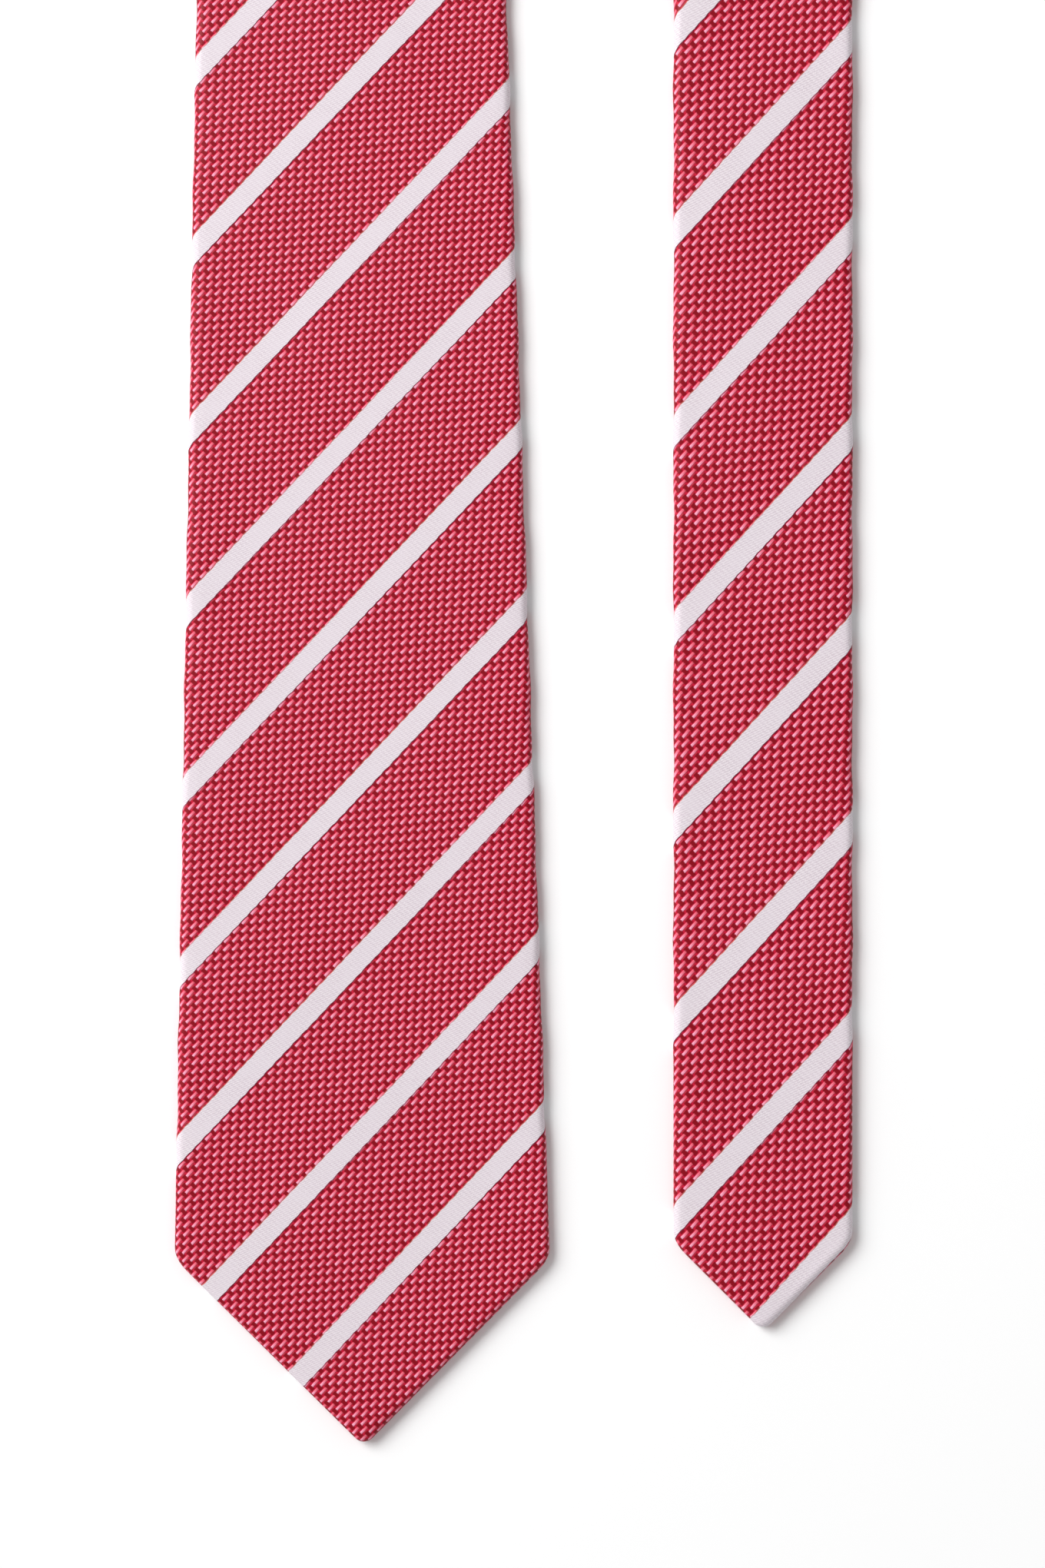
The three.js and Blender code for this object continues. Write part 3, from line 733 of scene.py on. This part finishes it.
# ---------------------------------------------------------------- satin tippings, seen in the back's openings
def tipping(name, shape, window, from_tail, nodes, body):
    """A lining, which sinks a little and ripples where the opening shows it."""
    def measure(s):
        return LENGTH - s if from_tail else s

    def half(s):
        return np.maximum(diamond(measure(s), shape), 0.05)

    def height(u, s):
        inside = ease((diamond(measure(s), window) - np.abs(u) + 1.5) / 5)
        return TIPPING_T - 0.45 * inside + 0.05 * np.sin(u / 3.1) * np.sin(s / 4.3) * inside
    marks = stations(shape["low"], shape["top"], 1.5, (shape["at"] - 2, shape["at"] + 2, 0.5))
    if from_tail:
        marks = [LENGTH - m for m in marks]
    slab(name, sorted(marks), half, height, TIPPING, lining, "tipping", nodes, 28, body=body)


tipping("blade_lining", BLADE_TIPPING, BLADE_WINDOW, False, ["blade_tipping"], "blade_point")
tipping("tail_lining", TAIL_TIPPING, TAIL_WINDOW, True, ["tail_tipping"], "tail_point")

# ---------------------------------------------------------------- hand stitching
dice = random.Random(11)
HEM_STITCH = 3.4            # mm from one hem stitch to the next
TACK_STITCHES, TACK_PITCH = 9, 0.26


def arch(p, q, ends, middle, steps=7):
    """A stitch from p to q: its middle lies over the back's surface and its ends go into the cloth."""
    path = []
    for i in range(steps):
        k = i / (steps - 1)
        rise = math.sin(math.pi * k)
        path.append((p[0] + (q[0] - p[0]) * k, p[1] + (q[1] - p[1]) * k, ends + (middle - ends) * rise))
    return path


def slips(name, low, high, nodes, body=None, blend=None, skip=()):
    """Slanted slip stitches that close the centre seam."""
    paths, s = [], low
    while s < high:
        if not any(a < s < b for a, b in skip):
            lean = 0.55 + 0.15 * dice.random()
            lifted = float(patch(0.0, s))
            side = 0.75 + 0.2 * dice.random()
            paths.append(arch((-side, s - lean), (side, s + lean), 0.55 + lifted, 0.2 + lifted))
        s += 8.2 + 1.2 * dice.random()
    thread(name, paths, 0.14, red_thread, nodes, body, blend)


slips("blade_seam_stitches", 120, BLADE_SPLIT - 3, ["blade_point_seam_thread", "blade_seam_thread"],
      blend=BLADE_BEND, skip=((PATCH["low"], PATCH["high"]),))
slips("blade_upper_seam_stitches", BLADE_SPLIT + 3, 676, ["blade_seam_thread"], body="blade")
slips("neck_seam_stitches", 722, 784, ["neck_seam_thread"], body="neck")
slips("tail_upper_seam_stitches", 828, TAIL_SEAM - 4, ["tail_seam_thread"], body="tail")
slips("tail_seam_stitches", TAIL_SEAM + 4, LENGTH - 70, ["tail_seam_thread", "tail_point_seam_thread"],
      blend=TAIL_BEND)


def hems(name, window, side, from_tail, nodes, body):
    """Slanted stitches that hold the silk's folded hem down on the lining."""
    corners = [(0.6, window["low"] + 0.8), (window["side"], window["at"]), (0.6, window["top"] - 2)]
    paths = []
    for (u0, s0), (u1, s1) in zip(corners, corners[1:]):
        length = math.hypot(u1 - u0, s1 - s0)
        count = int(length / HEM_STITCH)
        du, ds = (u1 - u0) / length, (s1 - s0) / length
        for i in range(count):
            k = (i + 0.5 + 0.2 * (dice.random() - 0.5)) / count
            u, s = u0 + (u1 - u0) * k, s0 + (s1 - s0) * k
            out = (ds, -du) if ds > 0 else (-ds, du)
            in_silk = (u + out[0] * 0.7, s + out[1] * 0.7)
            in_lining = (u - out[0] * 0.55 + du * 0.9, s - out[1] * 0.55 + ds * 0.9)
            p, q = [(side * x, LENGTH - y if from_tail else y) for x, y in (in_silk, in_lining)]
            paths.append(arch(p, q, 0.75, 0.14))
    thread(name, paths, 0.12, red_thread, nodes, body)


hems("blade_hem_stitches_left", BLADE_WINDOW, -1, False, ["blade_hem_stitch_left"], "blade_point")
hems("blade_hem_stitches_right", BLADE_WINDOW, 1, False, ["blade_hem_stitch_right"], "blade_point")
hems("tail_hem_stitches_left", TAIL_WINDOW, -1, True, ["tail_hem_stitch_left"], "tail_point")
hems("tail_hem_stitches_right", TAIL_WINDOW, 1, True, ["tail_hem_stitch_right"], "tail_point")


def bar_tack(name, s0, half, nodes, body):
    """A close row of satin stitches across the seam's end."""
    paths = []
    for i in range(TACK_STITCHES):
        s = s0 + (i - (TACK_STITCHES - 1) / 2) * TACK_PITCH
        reach = half + 0.12 * dice.random()
        paths.append(arch((-reach, s), (reach, s + 0.05), 0.6, 0.15, 9))
    thread(name, paths, 0.13, red_thread, nodes, body)


bar_tack("blade_bar_tack_stitches", 115.0, 3.2, ["blade_bar_tack"], "blade_point")
bar_tack("tail_bar_tack_stitches", LENGTH - 65.0, 2.6, ["tail_bar_tack"], "tail_point")

# ---------------------------------------------------------------- keeper loop and labels on the blade's back
def band(name, place, step, rise, thickness, material, slot, node, cols, rounded):
    """The keeper loop or a label: its ends lie on the back, and its middle stands off it by rise."""
    half = place["half"]

    def height(u, s):
        return PATCH["depth"] - 0.22 - rise * ease((half - 2 - np.abs(u)) / 8) + 0.012 * np.sin(u / 1.7)
    slab(name, stations(place["low"], place["high"], step), lambda s: half + 0 * s, height, thickness,
         material, slot, [node], cols, body="blade", rests_on="blade_silk", rounded=rounded)


band("keeper_loop_band", LOOP, 1.0, 0.2, 0.32, silk, "silk", "keeper_loop", 48, 0.1)
band("maker_label_ribbon", MAKER_LABEL, 1.5, 0.04, 0.24, maker_ribbon, "label", "maker_label", 36, 0.06)
band("care_label_ribbon", CARE_LABEL, 1.5, 0.04, 0.24, care_ribbon, "label", "care_label", 16, 0.06)


def band_stitches(name, place, side, material, nodes):
    """A short zigzag of stitches across one end of a band."""
    paths, s, flip = [], place["low"] + 1.0, 1
    while s < place["high"] - 1.4:
        u = side * (place["half"] - 1.6)
        paths.append(arch((u - 0.8 * flip, s), (u + 0.8 * flip, s + 0.9), 0.62, 0.28))
        s, flip = s + 0.95, -flip
    thread(name, paths, 0.1, material, nodes, "blade", sides=6)


for label, place, material in (("keeper_loop", LOOP, red_thread), ("maker_label", MAKER_LABEL, pale_thread),
                               ("care_label", CARE_LABEL, pale_thread)):
    for word, side in (("left", -1), ("right", 1)):
        band_stitches(f"{label}_stitches_{word}", place, side, material, [f"{label}_stitch_{word}"])

# ---------------------------------------------------------------- floor, light and camera
def floor():
    """A wide plane just under the tie."""
    mesh = bpy.data.meshes.new("floor")
    corners = [(x * FLOOR_REACH, y * FLOOR_REACH, FLOOR_Z) for x, y in ((-1, -1), (1, -1), (1, 1), (-1, 1))]
    mesh.from_pydata(corners, [], [(0, 1, 2, 3)])
    obj = bpy.data.objects.new("floor", mesh)
    bpy.context.scene.collection.objects.link(obj)
    mesh.materials.append(floor_material())


def lamp(name, kind, away, power, **settings):
    """A light that shines on the picture's middle from the direction away."""
    data = bpy.data.lights.new(name, kind)
    data.energy = power
    for key, value in settings.items():
        setattr(data, key, value)
    obj = bpy.data.objects.new(name, data)
    bpy.context.scene.collection.objects.link(obj)
    obj.location = (LOOK_AT[0] + away[0], LOOK_AT[1] + away[1], away[2])
    pitch = math.acos(away[2] / math.hypot(*away))
    obj.rotation_euler = (pitch, 0, math.atan2(away[1], away[0]) + math.pi / 2)


def studio_world():
    """Even light from above and a brighter horizon, as from a pale cyclorama."""
    world = bpy.data.worlds.new("studio")
    world.use_nodes = True
    tree = world.node_tree
    tree.nodes["Background"].inputs[0].default_value = (1, 1, 1, 1)
    place = tree.nodes.new("ShaderNodeTexCoord")
    split = tree.nodes.new("ShaderNodeSeparateXYZ")
    fall = tree.nodes.new("ShaderNodeMapRange")
    fall.interpolation_type = "SMOOTHSTEP"
    for i, value in ((1, 0.05), (2, 0.5), (3, HORIZON), (4, AMBIENT)):
        fall.inputs[i].default_value = value
    tree.links.new(place.outputs["Generated"], split.inputs[0])
    tree.links.new(split.outputs[2], fall.inputs[0])
    tree.links.new(fall.outputs[0], tree.nodes["Background"].inputs[1])
    bpy.context.scene.world = world


floor()
scene = bpy.context.scene
scene.view_settings.view_transform = "Standard"
studio_world()
lamp("key", "SUN", (-0.8, 0.44, 0.74), 2.3, angle=math.radians(40))
lamp("near_window", "AREA", (-0.42, 0.34, 0.55), 2.2, shape="DISK", size=0.4)

lens = bpy.data.cameras.new("camera")
lens.lens, lens.sensor_width, lens.sensor_fit = 85.0, 36.0, "AUTO"
lens.clip_start, lens.clip_end = 0.01, 20.0
camera = bpy.data.objects.new("camera", lens)
camera.location = (LOOK_AT[0], LOOK_AT[1], DISTANCE + THICK * MM)
scene.collection.objects.link(camera)
scene.camera = camera
